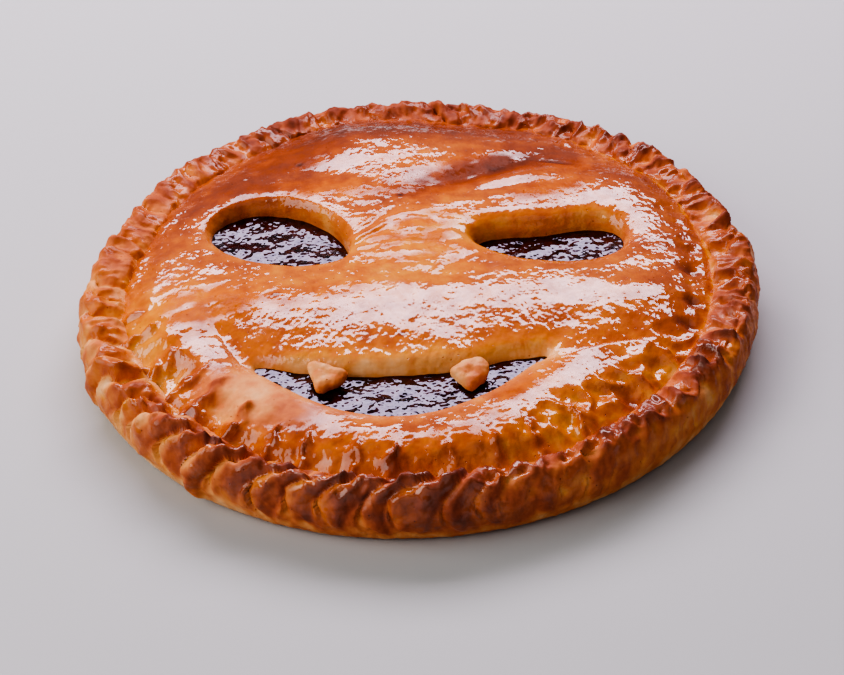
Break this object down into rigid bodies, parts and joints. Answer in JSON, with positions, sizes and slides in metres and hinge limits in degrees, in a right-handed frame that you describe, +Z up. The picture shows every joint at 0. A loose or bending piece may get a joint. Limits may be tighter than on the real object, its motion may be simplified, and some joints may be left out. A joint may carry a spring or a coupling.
{
  "type": "jam pie",
  "caption": "Round flat covered pie of glazed yeast dough with a pleated rope edge, a face cut through its top crust, dark jam inside and small dough fangs.",
  "frame": {"origin": "centre of the flat underside", "axes": "+Z up; +X to the right of the face; +Y towards the top of the face, so the mouth is towards -Y"},
  "size_m": [0.3037, 0.3017, 0.0376],
  "materials": {
    "golden_crust": "baked dough with an egg glaze, satin",
    "browned_crust": "well browned dough with an egg glaze, glossy",
    "jam": "wet dark jam, glossy",
    "pale_dough": "lightly baked dough, matte"
  },
  "bodies": {
    "root": {"bottom_crust": "golden_crust", "top_crust": "browned_crust", "filling": "jam", "left_fang": "pale_dough", "right_fang": "pale_dough"}
  },
  "joints": []
}
